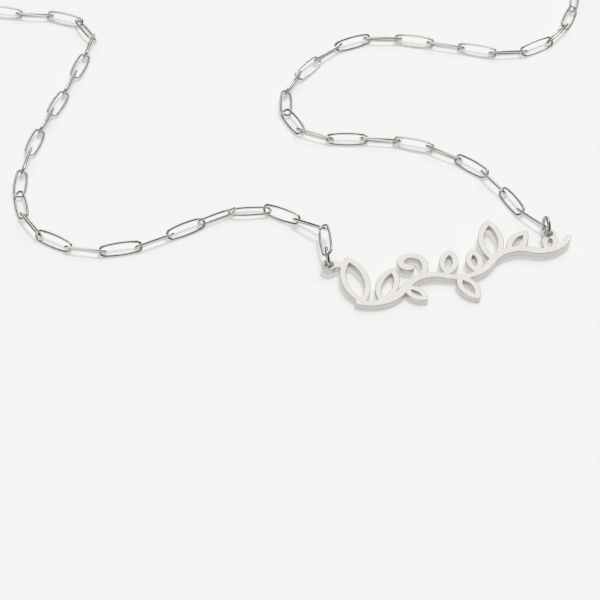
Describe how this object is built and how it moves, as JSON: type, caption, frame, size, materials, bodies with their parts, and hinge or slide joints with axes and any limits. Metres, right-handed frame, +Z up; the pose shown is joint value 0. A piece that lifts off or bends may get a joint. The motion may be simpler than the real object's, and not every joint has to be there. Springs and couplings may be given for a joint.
{
  "type": "nameplate necklace",
  "caption": "Silver necklace lying on a table: a flat cut plate with an open leaf scroll between two jump rings, on a long-link cable chain closed by a clasp.",
  "frame": {"origin": "middle of the necklace's box in X and Y, on the surface that it lies on", "axes": "+Z up from the surface that it lies on; +X to the right and +Y away from the viewer of the picture, with the nameplate at the front"},
  "size_m": [0.1168, 0.1112, 0.004],
  "materials": {
    "silver": "polished silver",
    "plate": "satin face, as cast edges, silver"
  },
  "bodies": {
    "root": {"nameplate": "plate", "jump_ring_left": "silver", "jump_ring_right": "silver", "chain_left": "silver", "chain_right": "silver", "clasp": "silver", "clasp_ring": "silver", "end_ring": "silver"}
  },
  "joints": []
}
